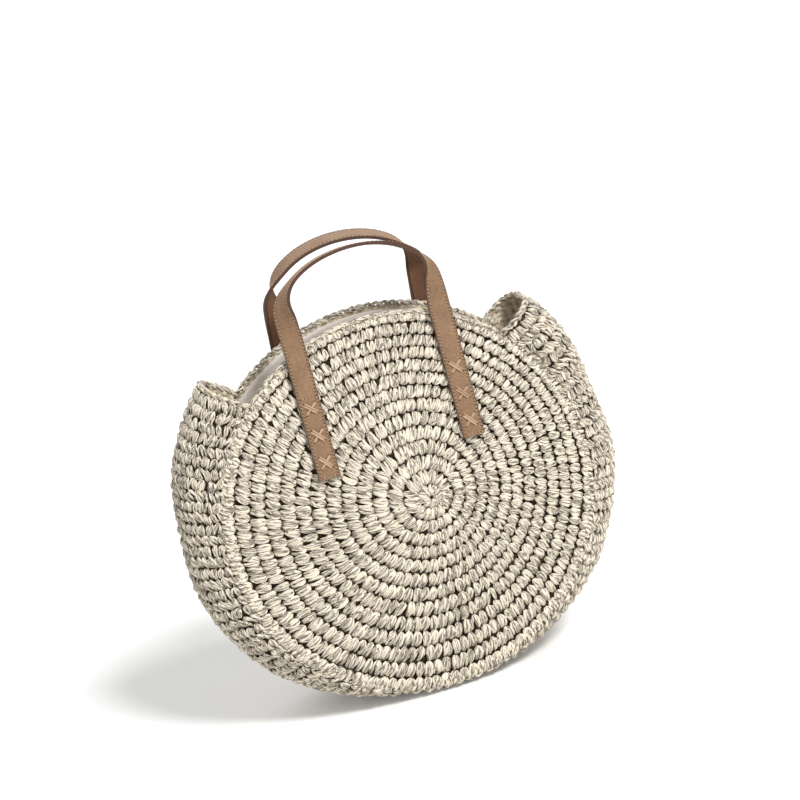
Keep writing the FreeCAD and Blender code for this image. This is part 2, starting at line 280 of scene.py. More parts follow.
class Socket:
    """A node's output: sums and products of it in Python add Math nodes."""

    def __init__(self, finish, output):
        self.finish = finish
        self.output = output

    def math(self, operation, first, second):
        return self.finish.node("ShaderNodeMath", {"operation": operation}, {0: first, 1: second})

    def __add__(self, other):
        return self.math("ADD", self, other)

    def __sub__(self, other):
        return self.math("SUBTRACT", self, other)

    def __rsub__(self, other):
        return self.math("SUBTRACT", other, self)

    def __mul__(self, other):
        return self.math("MULTIPLY", self, other)

    def __abs__(self):
        return self.finish.node("ShaderNodeMath", {"operation": "ABSOLUTE"}, {0: self})

    __radd__ = __add__
    __rmul__ = __mul__


class Finish:
    """A node material on one Principled shader. Constants are set on the shader's own sockets."""

    def __init__(self, name, **constants):
        self.material = bpy.data.materials.new(name)
        self.material.use_nodes = True
        self.tree = self.material.node_tree
        self.shader = self.tree.nodes["Principled BSDF"]
        for socket, value in constants.items():
            self.shader.inputs[socket.replace("_", " ")].default_value = value

    def node(self, kind, settings, inputs, output=0):
        made = self.tree.nodes.new(kind)
        for name, value in settings.items():
            setattr(made, name, value)
        for key, value in inputs.items():
            if isinstance(value, Socket):
                self.tree.links.new(value.output, made.inputs[key])
            else:
                made.inputs[key].default_value = value
        return Socket(self, made.outputs[output])

    def attribute(self, name, output):
        return self.node("ShaderNodeAttribute", {"attribute_name": name}, {}, output)

    def coordinates(self, kind):
        return self.node("ShaderNodeTexCoord", {}, {}, kind)

    def stretched(self, vector, scales):
        return self.node("ShaderNodeVectorMath", {"operation": "MULTIPLY"}, {0: vector, 1: scales})

    def noise(self, vector, scale, detail):
        inputs = {"Vector": vector, "Scale": scale, "Detail": detail}
        return self.node("ShaderNodeTexNoise", {"noise_dimensions": "3D"}, inputs)

    def cells(self, vector, feature, scale, randomness=1.0):
        inputs = {"Vector": vector, "Scale": scale, "Randomness": randomness}
        return self.node("ShaderNodeTexVoronoi", {"feature": feature}, inputs)

    def bands(self, vector, direction, scale, distortion=0.0):
        settings = {"wave_type": "BANDS", "bands_direction": direction}
        inputs = {"Vector": vector, "Scale": scale, "Distortion": distortion}
        return self.node("ShaderNodeTexWave", settings, inputs, "Fac")

    def ranged(self, value, low, high):
        """value from low to high spread over 0 to 1."""
        inputs = {"Value": value, "From Min": low, "From Max": high}
        return self.node("ShaderNodeMapRange", {"clamp": True}, inputs)

    def mix(self, share, first, second):
        settings = {"data_type": "RGBA", "clamp_factor": True}
        return self.node("ShaderNodeMix", settings, {0: share, 6: first, 7: second}, 2)

    def feed(self, socket, value):
        self.tree.links.new(value.output, self.shader.inputs[socket])

    def bump(self, height, distance, strength=1.0):
        inputs = {"Height": height, "Distance": distance, "Strength": strength}
        self.feed("Normal", self.node("ShaderNodeBump", {}, inputs))


def paint(red, green, blue):
    """A screen's colour, from 0 to 255, as the linear colour that a shader takes."""
    parts = []
    for part in (red / 255, green / 255, blue / 255):
        parts.append(part / 12.92 if part <= 0.04045 else ((part + 0.055) / 1.055) ** 2.4)
    return (*parts, 1.0)


def straw_finish(name, paper, crease_shade):
    """Twisted paper straw: fibres and creases run along each strand, and strands differ in tone. The creases
    are painted darker, as the shade in their folds.
    """
    finish = Finish(name, Specular_IOR_Level=0.3, Sheen_Weight=0.08)
    grain = finish.attribute("grain", "Vector")
    tone = finish.attribute("tone", "Fac")
    fibres = finish.noise(finish.stretched(grain, (1500, 150, 1500)), 1.0, 3.0)
    folds = finish.noise(finish.stretched(grain, (480, 50, 480)), 1.0, 1.0)
    creases = 1 - finish.ranged(abs(folds - 0.5), 0.0, 0.05)
    share = tone * 0.1 + finish.ranged(fibres, 0.35, 0.75) * 0.1 + creases * 0.7
    finish.feed("Base Color", finish.mix(share, paint(*paper), paint(*crease_shade)))
    finish.feed("Roughness", 0.5 + fibres * 0.25)
    finish.bump(fibres * 0.3 + folds - creases, 2.2 * MM)
    return finish.material


def core_finish(name, low, high):
    """The close middle of the crochet, which shows between stitches, and its knotted inside. Where it shows
    between stitches its dark colours are painted shade.
    """
    finish = Finish(name, Specular_IOR_Level=0.2)
    place = finish.coordinates("Object")
    fibres = finish.noise(place, 700.0, 3.0)
    knots = finish.cells(place, "F1", 190.0, 0.7)
    share = 1.1 - finish.ranged(knots, 0.15, 0.75) * 0.9 - fibres * 0.3
    finish.feed("Base Color", finish.mix(share, paint(*low), paint(*high)))
    finish.feed("Roughness", 0.75 + fibres * 0.2)
    finish.bump(fibres * 0.3 - knots, 2.5 * MM)
    return finish.material


def leather_finish(name, low, high, roughness, grain_size):
    """Pebbled leather between two tones, with painted shade darkening it along its stitch lines and edges."""
    finish = Finish(name, Specular_IOR_Level=0.4)
    place = finish.coordinates("Object")
    clouds = finish.noise(place, 55.0, 4.0)
    wear = finish.noise(place, 400.0, 3.0)
    pores = finish.noise(place, 900.0, 2.0)
    pebbles = finish.cells(place, "SMOOTH_F1", 1 / grain_size)
    patches = finish.ranged(clouds, 0.2, 0.8) * 0.5 + finish.ranged(wear, 0.35, 0.65) * 0.3
    share = patches + (1 - pebbles) * 0.2
    skin = finish.mix(share, paint(*low), paint(*high))
    # Painted shade: the face is darkened towards a deep brown in its stitch grooves and along its edges
    painted_shade = finish.attribute("painted_shade", "Fac")
    finish.feed("Base Color", finish.mix(painted_shade * 0.9, skin, paint(*[part * 0.45 for part in low])))
    finish.feed("Roughness", roughness + pebbles * 0.15 + wear * 0.1)
    finish.bump(pebbles + pores * 0.6, 0.5 * MM, 0.8)
    return finish.material


def edge_finish(name, low, high):
    """Brushed-on edge paint."""
    finish = Finish(name, Specular_IOR_Level=0.5)
    place = finish.coordinates("Object")
    streaks = finish.noise(place, 350.0, 3.0)
    finish.feed("Base Color", finish.mix(streaks, paint(*low), paint(*high)))
    finish.feed("Roughness", 0.35 + streaks * 0.2)
    finish.bump(streaks, 0.15 * MM, 0.5)
    return finish.material


def thread_finish(name, low, high, ridge_direction, ridge_scale):
    """Thread with fine ridges: slanting on a twisted thread, lengthwise on a lace of several."""
    finish = Finish(name, Specular_IOR_Level=0.35)
    grain = finish.attribute("grain", "Vector")
    tone = finish.attribute("tone", "Fac")
    ridges = finish.bands(grain, ridge_direction, ridge_scale, 1.5)
    finish.feed("Base Color", finish.mix(tone * 0.6 + ridges * 0.4, paint(*low), paint(*high)))
    finish.feed("Roughness", 0.5 + ridges * 0.2)
    finish.bump(ridges, 0.25 * MM, 0.7)
    return finish.material


def cloth_finish(name, low, high):
    """Plain woven cotton: warp and weft ridges on the cloth's own UV map."""
    finish = Finish(name, Specular_IOR_Level=0.2, Sheen_Weight=0.15)
    flat = finish.coordinates("UV")
    slubs = finish.noise(finish.stretched(flat, (90, 900, 1)), 1.0, 2.0)
    weave = finish.bands(flat, "X", 330.0) * finish.bands(flat, "Y", 330.0)
    finish.feed("Base Color", finish.mix(weave * 0.5 + slubs * 0.4, paint(*low), paint(*high)))
    finish.feed("Roughness", 0.8 + slubs * 0.15)
    finish.bump(weave + slubs * 0.5, 0.2 * MM, 0.6)
    return finish.material


# Paper straw, and the painted shade that darkens its creases
STRAW = straw_finish("paper_straw", (254, 243, 223), (110, 84, 56))
# The core's dark colours are painted shade for the gaps between stitches
STRAW_CORE_PAINTED_SHADE = core_finish("straw_core_painted_shade", (44, 35, 25), (76, 62, 44))
STRAW_INSIDE = core_finish("straw_inside", (180, 160, 130), (248, 239, 220))
STRAP_LEATHER = leather_finish("strap_leather", (112, 84, 60), (160, 127, 96),
                               roughness=0.45, grain_size=1.2 * MM)
# The backing is a real second leather; its colour is darker than the face as painted shade on the strap's
# inner side
BACKING_LEATHER_IN_PAINTED_SHADE = leather_finish("backing_leather_painted_shade", (98, 66, 45), (128, 92, 66),
                                 roughness=0.62, grain_size=0.6 * MM)
EDGE_PAINT = edge_finish("edge_paint", (54, 32, 20), (92, 58, 38))
STITCH_THREAD = thread_finish("stitch_thread", (158, 124, 98), (204, 170, 140),
                              ridge_direction="DIAGONAL", ridge_scale=420.0)
LACE = thread_finish("lace", (160, 126, 98), (222, 190, 160), ridge_direction="X", ridge_scale=380.0)
# Painted shade for the punched holes and for the needle holes between stitches
HOLE_PAINTED_SHADE = leather_finish("lace_hole_painted_shade", (38, 22, 14), (60, 36, 22), roughness=0.7, grain_size=0.6 * MM)
COTTON = cloth_finish("lining_cotton", (234, 226, 217), (250, 244, 237))


def add_piece(name, form, materials, smooth=True):
    """A piece of the scene from a bmesh, which is used up."""
    mesh = bpy.data.meshes.new(name)
    form.to_mesh(mesh)
    form.free()
    if smooth:
        mesh.shade_smooth()
    for material in materials:
        mesh.materials.append(material)
    piece = bpy.data.objects.new(name, mesh)
    bpy.context.scene.collection.objects.link(piece)
    return piece


def thicken(piece, thickness, inner_material=0, edge_material=0):
    """Gives a sheet its thickness, half on each side; the materials are counted from the sheet's own."""
    solid = piece.modifiers.new("thickness", "SOLIDIFY")
    solid.thickness = thickness
    solid.offset = 0
    solid.material_offset = inner_material
    solid.material_offset_rim = edge_material


def edge_rise(edge):
    return abs(edge.verts[0].co.z - edge.verts[1].co.z)


def turned(degrees, axis="Z"):
    return Matrix.Rotation(math.radians(degrees), 4, axis)


def make_strand(name, stations, sides, rng, crumple, folds=0.0):
    """A short twisted ribbon through stations.

    A station is along, across, height, half width and half thickness in mm, and tilt in degrees.
    crumple is how unevenly the ribbon swells, and folds is the share of its lengthwise edges that
    are sharp, as in folded paper.
    """
    form = bmesh.new()
    bmesh.ops.create_cone(form, cap_ends=True, segments=sides, radius1=1, radius2=1, depth=1)
    posts = [edge for edge in form.edges if edge_rise(edge) > 0.5]
    bmesh.ops.subdivide_edges(form, edges=posts, cuts=len(stations) - 2)
    for face in form.faces:
        face.smooth = True
    for edge in form.edges:
        lengthwise = edge_rise(edge) > 0.01
        edge.smooth = not (lengthwise and rng.random() < folds)
    middles = [Vector((across, along, height)) * MM for along, across, height, *_ in stations]
    grain = []
    for vert in form.verts:
        step = round((vert.co.z + 0.5) * (len(stations) - 1))
        half_width, half_thickness, tilt = stations[step][3:]
        ahead = middles[min(step + 1, len(middles) - 1)] - middles[max(step - 1, 0)]
        wide = ahead.cross(Vector((0, 0, 1))).normalized()
        wide = Matrix.Rotation(math.radians(tilt), 3, ahead.normalized()) @ wide
        thick = wide.cross(ahead).normalized()
        swell = 1 + crumple * rng.uniform(-1, 1)
        across, up = vert.co.x * half_width * MM * swell, vert.co.y * half_thickness * MM * swell
        grain.append(Vector((across, stations[step][0] * MM, up)))
        vert.co = middles[step] + wide * across + thick * up
    bmesh.ops.recalc_face_normals(form, faces=form.faces)
    mesh = bpy.data.meshes.new(name)
    form.to_mesh(mesh)
    form.free()
    return mesh, grain


GRAIN_LENGTH = 5  # metres of grain that the strands are cut from


class StrandWork:
    """Many strands laid into one piece. Each has its own tone and its own stretch of the grain."""

    def __init__(self, rng):
        self.form = bmesh.new()
        self.rng = rng
        self.tones = []
        self.grain = []

    def lay(self, strand, matrix):
        mesh, grain = strand
        copy = mesh.copy()
        copy.transform(matrix)
        self.form.from_mesh(copy)
        bpy.data.meshes.remove(copy)
        shift = Vector((0, self.rng.uniform(0, GRAIN_LENGTH), 0))
        tone = self.rng.betavariate(2, 3)
        self.tones.extend([tone] * len(grain))
        for spot in grain:
            self.grain.extend(spot + shift)

    def finish(self, name, material, stands=False):
        """The piece with every strand laid; where it stands, it is pressed flat on the floor."""
        if stands:
            for vert in self.form.verts:
                vert.co.z = max(vert.co.z, 0.0)
        piece = add_piece(name, self.form, [material], smooth=False)
        attributes = piece.data.attributes
        attributes.new("tone", "FLOAT", "POINT").data.foreach_set("value", self.tones)
        attributes.new("grain", "FLOAT_VECTOR", "POINT").data.foreach_set("vector", self.grain)
        return piece


# Panels: rounds of stitches. A stitch is three ribbons, wide and raised at its inner end, drawn together and
# dipping under the next round at its outer end.
STITCH_HEIGHT, STITCH_WIDTH = 13.6 * MM, 8.1 * MM  # the stitch that the ribbons are drawn for
STITCH_COUNTS = (8, 16, 25, 34, 43, 53, 61, 73, 81, 93, 100, 113, 120, 120)
LAST_ROUND = len(STITCH_COUNTS) - 1
ROUND_HEIGHT, LAST_ROUND_HEIGHT = 13.2 * MM, 8.4 * MM
FIRST_ROUND_START = 3.5 * MM  # the radius that its stitches start at
STITCH_LENGTHS = {0: 0.82, LAST_ROUND: 1.15}  # beside 1 in the other rounds
STITCH_FULLNESS = {0: 1.25, 1: 1.22, 2: 1.14, 3: 1.08, LAST_ROUND: 1.12}
STITCH_BELLY = 0.4  # where along its height a stitch is widest
STITCH_SLANT = 13  # degrees
PANEL_RIBBONS = (-1.3, 0, 1.3)
STRAND_KINDS = 9  # variants of each ribbon
SPIRAL_DRIFT = {FRONT: 18 * MM, BACK: -6 * MM}  # how far the first round sits off the panel's middle
ROUND_RISE = 8 * MM  # how far the rounds halfway out sit above it
PANEL_CORE_LIFT, PANEL_CORE_THICKNESS = -1.7 * MM, 1.2 * MM
CORE_TRIM = 1 * MM  # how far a core stays off its seam


def stitch_strands(prefix, hand, girth, sides, rng):
    """Variants of one ribbon of a stitch: hand is how far it lies to the right, girth its fullness."""
    draw = rng.uniform
    strands = []
    for kind in range(STRAND_KINDS):
        lean = draw(-0.4, 0.4)
        stations = [
            (-1.6, hand * 0.5, 0.2, 1.3 * girth, 0.9, hand * -8),
            (0.1, hand * 1.5, 2.2, 2.1 * girth, 1.3, hand * -16),
            (2.8, hand * (1.85 + lean), 2.8 + draw(-0.3, 0.3), 2.5 * girth, 1.4, hand * draw(-36, -6)),
            (6.8, hand * (1.75 + lean), 1.6 + draw(-0.4, 0.4), 2.45 * girth, 1.4, hand * draw(-38, -4)),
            (10.4, hand * 1.5, -0.4, 1.9 * girth, 1.1, hand * draw(-30, 0)),
            (12.8, hand * 0.7, -2.6, 0.9 * girth, 0.5, 0),
        ]
        strands.append(make_strand(f"{prefix}_{kind}", stations, sides, rng, crumple=0.26, folds=0.6))
    return strands


def uneven_steps(count, spread, rng):
    """The middle and the width of each of count steps of uneven width, as shares of the whole."""
    widths = [rng.uniform(1 - spread, 1 + spread) for step in range(count)]
    total = sum(widths)
    reached = 0.0
    for width in widths:
        yield (reached + width / 2) / total, width / total
        reached += width


def round_shift(side, radius):
    """How far across and up a round's middle sits from the panel's."""
    share = radius / PANEL_RADIUS
    return SPIRAL_DRIFT[side] * (1 - share), ROUND_RISE * math.sin(math.pi * share)


def make_panel_crochet(name, side):
    """Rounds of stitches from a panel's middle out to its seam."""
    rng = random.Random(PANEL_SEEDS[side])
    panel = Panel(side)
    ribbons = [stitch_strands(f"{name}_{hand}", hand, girth=0.74, sides=6, rng=rng) for hand in PANEL_RIBBONS]
    work = StrandWork(rng)
    reached = 0.0
    for turn, count in enumerate(STITCH_COUNTS):
        height = LAST_ROUND_HEIGHT if turn == LAST_ROUND else ROUND_HEIGHT
        inner = reached if turn > 0 else FIRST_ROUND_START
        middle = inner + height * STITCH_BELLY
        reached += height
        drift, rise = round_shift(side, middle)
        next_drift, next_rise = round_shift(side, middle + height)
        start = rng.uniform(0, 2 * math.pi)
        for spot, width in uneven_steps(count, spread=0.12, rng=rng):
            angle = start + 2 * math.pi * spot
            radius = inner + rng.uniform(-0.5, 0.5) * MM
            across, up = drift + radius * math.sin(angle), rise + radius * math.cos(angle)
            spread = (next_drift - drift) * math.sin(angle) + (next_rise - rise) * math.cos(angle)
            length = (STITCH_LENGTHS.get(turn, 1.0) * height + spread) / STITCH_HEIGHT
            heading = angle + math.radians(STITCH_SLANT + rng.gauss(0, 5))
            place = panel.frame(across, up, heading, rng.uniform(-0.9, -0.5) * MM)
            wide = STITCH_FULLNESS.get(turn, 1.0) * width * 2 * math.pi * middle / STITCH_WIDTH
            shape = Matrix.Diagonal((wide, length * rng.uniform(0.95, 1.05), rng.uniform(0.9, 1.1), 1))
            for ribbon in ribbons:
                slant = turned(rng.gauss(0, 6))
                work.lay(rng.choice(ribbon), place @ slant @ shape)
    return work.finish(name, STRAW)


def flat_round(panel, edge, rings, steps):
    """A round in the plane of a panel's seam circle."""
    form = bmesh.new()
    row = [form.verts.new(panel.middle + panel.up * (edge * step / rings)) for step in range(rings + 1)]
    spokes = [form.edges.new(pair) for pair in zip(row, row[1:])]
    bmesh.ops.spin(form, geom=row + spokes, cent=panel.middle, axis=panel.out, angle=2 * math.pi,
                   steps=steps, use_merge=True)
    bmesh.ops.remove_doubles(form, verts=form.verts, dist=0.02 * MM)
    return form


def make_panel_core(name, side):
    """The dense middle of a panel's crochet, under its raised stitches. Its outer face is painted dark, as
    the shade between the stitches.
    """
    panel = Panel(side)
    form = flat_round(panel, PANEL_RADIUS - CORE_TRIM, rings=24, steps=96)
    for vert in form.verts:
        vert.co = panel.point(*panel.spot(vert.co), PANEL_CORE_LIFT)
    bmesh.ops.recalc_face_normals(form, faces=form.faces)
    bmesh.ops.solidify(form, geom=form.faces, thickness=PANEL_CORE_THICKNESS)
    for face in form.faces:
        face.material_index = 0 if face.normal.dot(panel.out) > 0 else 1
    return add_piece(name, form, [STRAW_CORE_PAINTED_SHADE, STRAW_INSIDE])


# Gusset: rows from ear to ear, slanted and nearly upright by turns, of looser stitches with four thinner
# ribbons each.
GUSSET_ROWS = 84
GUSSET_STITCHES = 16
GUSSET_RIBBONS = (-1.5, -0.5, 0.5, 1.5)
GUSSET_REACH = 0.98  # share of the way to its seams that is filled
ROW_LEANS = (28, -8)  # degrees
ROW_OVERLAP = 1.05  # a stitch's height beside the row's
GUSSET_CORE_LIFT, GUSSET_CORE_THICKNESS = -1.2 * MM, 1.4 * MM


def make_gusset_crochet(name, hand):
    """The half of the gusset's rows on one hand."""
    rng = random.Random(GUSSET_SEED + hand)
    ribbons = [stitch_strands(f"{name}_{place}", place, girth=0.62, sides=4, rng=rng)
               for place in GUSSET_RIBBONS]
    work = StrandWork(rng)
    edging = math.degrees((2 * CORD_RADIUS + FIT_GAP) / PANEL_RADIUS)
    last = EAR_ANGLE - edging
    step = 2 * last / GUSSET_ROWS
    half = GUSSET_ROWS // 2
    rows = range(half) if hand == LEFT else range(half, GUSSET_ROWS)
    for row in rows:
        lean = ROW_LEANS[row % 2]
        for spot, width in uneven_steps(GUSSET_STITCHES, spread=0.2, rng=rng):
            share = GUSSET_REACH * (2 * spot - 1)
            angle = -last + step * (row + rng.uniform(-0.08, 0.08))
            place = gusset_frame(angle, share, rng.uniform(-1.0, -0.2) * MM)
            wide = width * 2 * GussetCut(angle).half_length / STITCH_WIDTH
            apart = (gusset_point(angle + step, share, 0) - gusset_point(angle, share, 0)).length
            tall = ROW_OVERLAP * apart / STITCH_HEIGHT
            for ribbon in ribbons:
                slant = turned(lean + rng.gauss(0, 12))
                shape = Matrix.Diagonal((wide, tall * rng.uniform(0.9, 1.15), rng.uniform(0.75, 1.1), 1))
                shift = Matrix.Translation((rng.uniform(-0.5, 0.5) * MM, rng.uniform(-1, 1) * MM, 0))
                work.lay(rng.choice(ribbon), place @ shift @ slant @ shape)
    return work.finish(name, STRAW, stands=True)


def make_gusset_sheet(name, lift, trim, end_setback, thickness, materials):
    """A sheet that follows the gusset from ear to ear."""
    form = bmesh.new()
    form.loops.layers.uv.new("UVMap")
    bmesh.ops.create_grid(form, x_segments=150, y_segments=28, size=1, calc_uvs=True)
    last = EAR_ANGLE - math.degrees(end_setback / PANEL_RADIUS)
    for vert in form.verts:
        spot = gusset_point(vert.co.x * last, vert.co.y, lift, trim)
        spot.z = max(spot.z, 0.0)
        vert.co = spot
    piece = add_piece(name, form, materials)
    thicken(piece, thickness, inner_material=len(materials) - 1)
    return piece


# Mouth edges: chains of short ribbons laid along a cord. Seams: short ribbons laid across it, like beads.
CHAIN_PITCH = 8.2 * MM
CHAIN_RIBBONS = 4
CHAIN_SLANT = 16  # degrees, to either hand in turn
CHAIN_END = 0.35  # how near an end a link's middle may come, in links
SEAM_PITCH = 4.6 * MM
SEAM_SLANT = 72  # degrees


def chain_strands(prefix, rng):
    """Variants of a ribbon that lies along a cord."""
    draw = rng.uniform
    strands = []
    for kind in range(STRAND_KINDS):
        stations = [
            (-6.2, -1.2, 0.3, 0.7, 0.6, 0),
            (-3.4, -0.7, 1.5, 1.45, 0.9, draw(-15, 15)),
            (0.4, 0.1, 1.9, 1.7, 1.0, draw(-20, 20)),
            (4.0, 0.8, 1.4, 1.4, 0.9, draw(-15, 15)),
            (6.6, 1.2, 0.2, 0.7, 0.6, 0),
        ]
        strands.append(make_strand(f"{prefix}_{kind}", stations, sides=5, rng=rng, crumple=0.15))
    return strands


def seam_strands(prefix, rng):
    """Variants of a ribbon that bends over a cord."""
    draw = rng.uniform
    strands = []
    for kind in range(STRAND_KINDS):
        stations = [
            (-5.0, draw(-0.5, 0.5), -3.0, 1.1, 0.7, 0),
            (-3.0, draw(-0.5, 0.5), -0.4, 1.9, 1.1, draw(-20, 20)),
            (0.0, draw(-0.5, 0.5), 0.9, 2.2, 1.3, draw(-20, 20)),
            (3.0, draw(-0.5, 0.5), -0.4, 1.9, 1.1, draw(-20, 20)),
            (5.0, draw(-0.5, 0.5), -3.0, 1.1, 0.7, 0),
        ]
        strands.append(make_strand(f"{prefix}_{kind}", stations, sides=6, rng=rng, crumple=0.15))
    return strands


def line_length(line):
    steps = 200
    samples = [line(step / steps)[0] for step in range(steps + 1)]
    return sum((b - a).length for a, b in zip(samples, samples[1:]))


def line_frame(line, share):
    """Local Y runs along the line and Z out of the bag."""
    nudge = 0.002
    point, out = line(share)
    along = (line(min(share + nudge, 1))[0] - line(max(share - nudge, 0))[0]).normalized()
    out = (out - along * out.dot(along)).normalized()
    return placed(along.cross(out), along, out, point)


def make_chain(name, line, seed):
    """An edging along a line, which gives a point and an outward direction for a share from 0 to 1."""
    rng = random.Random(seed)
    strands = chain_strands(name, rng)
    work = StrandWork(rng)
    links = round(line_length(line) / CHAIN_PITCH)
    for link in range(links):
        for ribbon in range(CHAIN_RIBBONS):
            half_step = 0.5 * (ribbon % 2) * (0 < link < links - 1)
            share = (link + 0.5 + half_step + rng.uniform(-0.1, 0.1)) / links
            share = min(max(share, CHAIN_END / links), 1 - CHAIN_END / links)
            turn = turned(360 * (ribbon + 0.5) / CHAIN_RIBBONS, "Y")
            slant = turned(-CHAIN_SLANT if ribbon % 2 else CHAIN_SLANT)
            work.lay(rng.choice(strands), line_frame(line, share) @ turn @ slant)
    return work.finish(name, STRAW)


def make_seam(name, line, seed):
    """Beads of straw over a line."""
    rng = random.Random(seed)
    strands = seam_strands(name, rng)
    work = StrandWork(rng)
    beads = round(line_length(line) / SEAM_PITCH)
    for share, _ in uneven_steps(beads, spread=0.2, rng=rng):
        slant = turned(SEAM_SLANT + rng.gauss(0, 9))
        work.lay(rng.choice(strands), line_frame(line, share) @ slant)
    return work.finish(name, STRAW, stands=True)


def ring_line(side, first, last):
    """The seam circle between two angles from the panel's top, in degrees."""
    panel = Panel(side)

    def line(share):
        angle = math.radians(first + (last - first) * share)
        point = panel.edge_point(angle)
        return point, (point - panel.middle).normalized() + panel.out
    return line


def ear_line(hand):
    """The end of the gusset on one hand, from its front seam to its back seam."""
    cut = GussetCut(hand * (EAR_ANGLE - math.degrees(CORD_RADIUS / PANEL_RADIUS)))

    def line(share):
        run = (2 * share - 1) * (cut.half_length - CORD_RADIUS)
        point = cut.point(run, 0)
        return point, cut.point(run, 1.0) - point
    return line


LINING_SLACK = 1.6 * MM  # how far a round of lining hangs off its panel
LINING_HELD = 0.7  # share of its radius from which its seam holds it
LINING_FOLDS = (22, 9)  # per metre, across and up


def make_lining_disc(name, side):
    """A round of lining that lies loosely inside a panel."""
    panel = Panel(side)
    edge = PANEL_RADIUS - LINING_SETBACK
    form = flat_round(panel, edge, rings=40, steps=120)
    bmesh.ops.recalc_face_normals(form, faces=form.faces)
    flat = form.loops.layers.uv.new("UVMap")
    for face in form.faces:
        for loop in face.loops:
            loop[flat].uv = panel.spot(loop.vert.co)
    for vert in form.verts:
        across, up = panel.spot(vert.co)
        loose = 1 - ease(math.hypot(across, up), LINING_HELD * edge, edge)
        fold = noise.noise(Vector((across * LINING_FOLDS[0], up * LINING_FOLDS[1], side * LINING_FOLD_SEED)))
        vert.co = panel.point(across, up, LINING_LIFT - LINING_SLACK * loose * (0.5 + 0.5 * fold))
    piece = add_piece(name, form, [COTTON])
    thicken(piece, LINING_THICKNESS)
    return piece


# Straps: the two leathers in one sheet with painted edges, and a stitch line near each edge.
STRAP_STEPS = 220
GROOVE_INSET = 2.1 * MM
GROOVE_DEPTH = 0.3 * MM
GROOVE_HALF_WIDTH = 1.0 * MM
EDGE_PAINTED_SHADE_WIDTH, EDGE_PAINTED_SHADE_DARKNESS = 1.4 * MM, 0.9  # how far in and how much painted shade darkens the edges
STRAP_CROWN = 0.15 * MM
CROWN_ALLOWANCE = 0.25 * MM  # what the crown and the grooves take of the thickness
CORNER_RADIUS, EDGE_RADIUS = 1.2 * MM, 0.75 * MM
STRAP_COLUMNS = (-10.5, -9.5, -8.9, -8.4, -7.9, -7.3, -4.0, 0.0, 4.0, 7.3, 7.9, 8.4, 8.9, 9.5, 10.5)
EDGE_STITCH_PITCH = 3.4 * MM
EDGE_STITCH_SLANT, BAR_STITCH_SLANT = 30, 110  # degrees
BAR_OVER_CROSS = 10.5 * MM  # from the upper cross to the stitches across the strap
BAR_LIFT = 0.25 * MM  # its height over the grooves
LACES = ((0.0, 1.0, -45, (0,)), (1.0, 0.8, 45, (-1, 1)))  # lift, girth, slant and lanes of each lace
LACE_LANE = 1.05 * MM
HOLE_RADIUS, HOLE_HALF_HEIGHT, HOLE_SINK = 1.3 * MM, 0.22 * MM, 0.1 * MM


def strap_groove(across):
    """1 in the middle of a stitch line, 0 beside it."""
    inset = STRAP_WIDTH / 2 - abs(across)
    return max(1 - abs(inset - GROOVE_INSET) / GROOVE_HALF_WIDTH, 0.0)


def strap_painted_shade(across):
    """How much painted shade darkens the face, in its stitch lines and along its edges."""
    inset = STRAP_WIDTH / 2 - abs(across)
    return max(strap_groove(across), EDGE_PAINTED_SHADE_DARKNESS * (1 - ease(inset, 0, EDGE_PAINTED_SHADE_WIDTH)))


def strap_height(across):
    """The face's height over the strap's middle: slightly crowned, with a groove at each stitch line."""
    crown = STRAP_CROWN * ease(STRAP_WIDTH / 2 - abs(across), 0, STRAP_WIDTH / 3)
    return STRAP_THICKNESS / 2 + crown - GROOVE_DEPTH * strap_groove(across)


def make_strap(name, strap):
    """Both leathers of a strap, from tab end to tab end."""
    form = bmesh.new()
    # Painted shade in the stitch grooves and along the edges, read by the leather's colour
    painted_shade = form.verts.layers.float.new("painted_shade")
    columns = len(STRAP_COLUMNS) - 1
    bmesh.ops.create_grid(form, x_segments=columns, y_segments=STRAP_STEPS, size=1)
    corners = [vert for vert in form.verts if len(vert.link_edges) == 2]
    for vert in form.verts:
        across = STRAP_COLUMNS[round((vert.co.x + 1) / 2 * columns)] * MM
        run = (vert.co.y + 1) * strap.half_length
        vert.co = strap.frame(run) @ Vector((across, 0, strap_height(across)))
        vert[painted_shade] = strap_painted_shade(across)
    bmesh.ops.bevel(form, geom=corners, offset=CORNER_RADIUS, offset_type="OFFSET", affect="VERTICES",
                    segments=3, profile=0.5, material=-1)
    piece = add_piece(name, form, [STRAP_LEATHER, BACKING_LEATHER_IN_PAINTED_SHADE, EDGE_PAINT])
    thicken(piece, STRAP_THICKNESS - CROWN_ALLOWANCE, inner_material=1, edge_material=2)
    rounded = piece.modifiers.new("edges", "BEVEL")
    rounded.width = EDGE_RADIUS
    rounded.segments = 3
    rounded.material = 2
    rounded.limit_method = "ANGLE"
    rounded.angle_limit = math.radians(50)
    return piece


